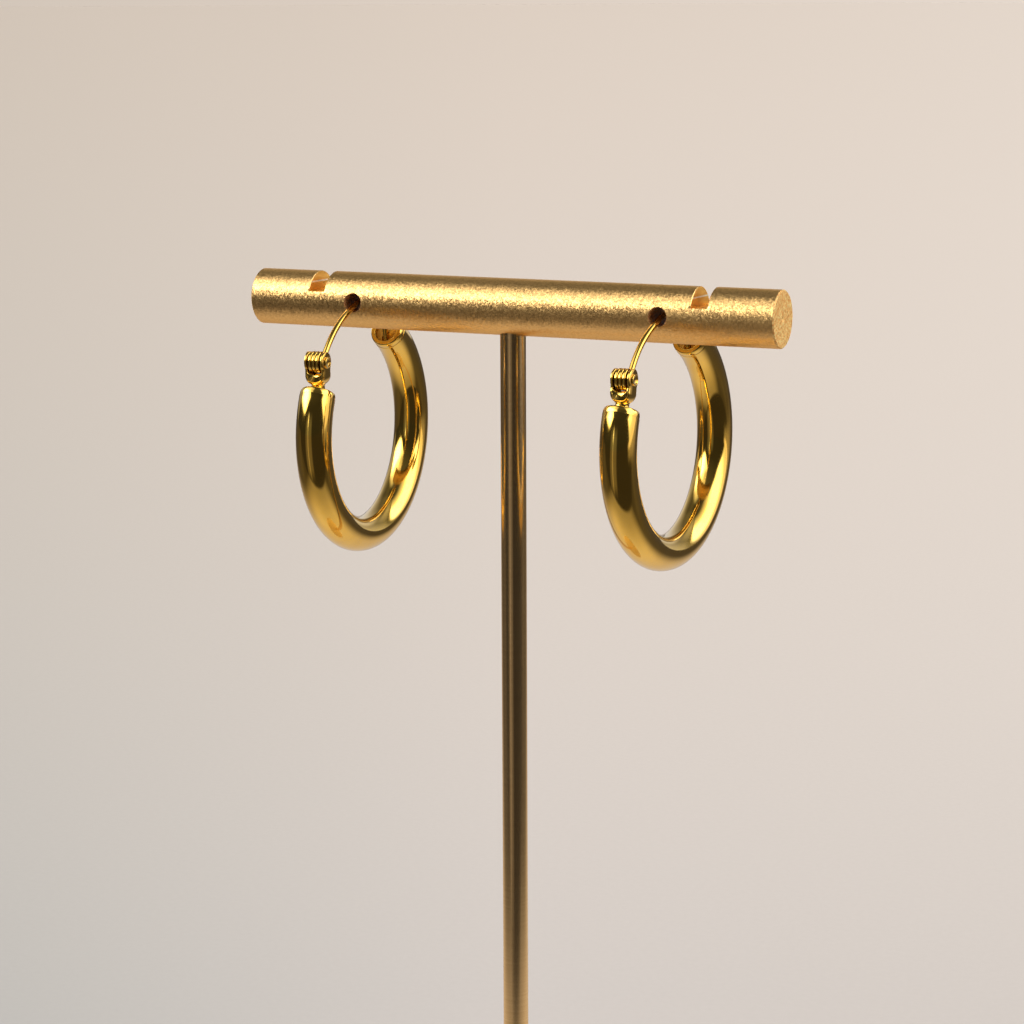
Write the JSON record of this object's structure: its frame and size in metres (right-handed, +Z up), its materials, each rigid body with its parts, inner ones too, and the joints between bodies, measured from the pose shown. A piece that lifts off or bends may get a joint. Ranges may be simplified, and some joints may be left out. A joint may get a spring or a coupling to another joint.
{
  "type": "pair of hinged tube hoop earrings on a T-bar display stand",
  "caption": "Polished round-tube hoop earrings with hinged ear wires, hung through the drilled crossbar of a slim T-bar stand on a round foot.",
  "frame": {"origin": "middle of the underside of the stand's round base", "axes": "+Z up along the post, +X along the crossbar, -Y to the front, where the earrings' hinges are"},
  "size_m": [0.0588, 0.05, 0.1199],
  "materials": {
    "polished_gold": "mirror polished gold plate",
    "stand_blasted": "sand-blasted champagne gold",
    "stand_satin": "satin champagne gold"
  },
  "bodies": {
    "stand_and_wires": {"stand_base": "stand_blasted", "stand_post": "stand_satin", "stand_bar": "stand_blasted", "right_ear_wire": "polished_gold", "left_ear_wire": "polished_gold"},
    "right_hoop_body": {"right_hoop": "polished_gold", "right_hinge_pin": "polished_gold"},
    "left_hoop_body": {"left_hoop": "polished_gold", "left_hinge_pin": "polished_gold"}
  },
  "joints": [
    {"name": "right_hoop_hinge", "type": "hinge", "parent": "stand_and_wires", "child": "right_hoop_body", "pos_m": [0.0163, -0.0093, 0.11147], "axis": [-0.9973, 0.0715, -0.0192], "range_deg": [0, 75]},
    {"name": "left_hoop_hinge", "type": "hinge", "parent": "stand_and_wires", "child": "left_hoop_body", "pos_m": [-0.01727, -0.01058, 0.11165], "axis": [-0.9999, -0.0087, -0.0052], "range_deg": [0, 75]}
  ]
}
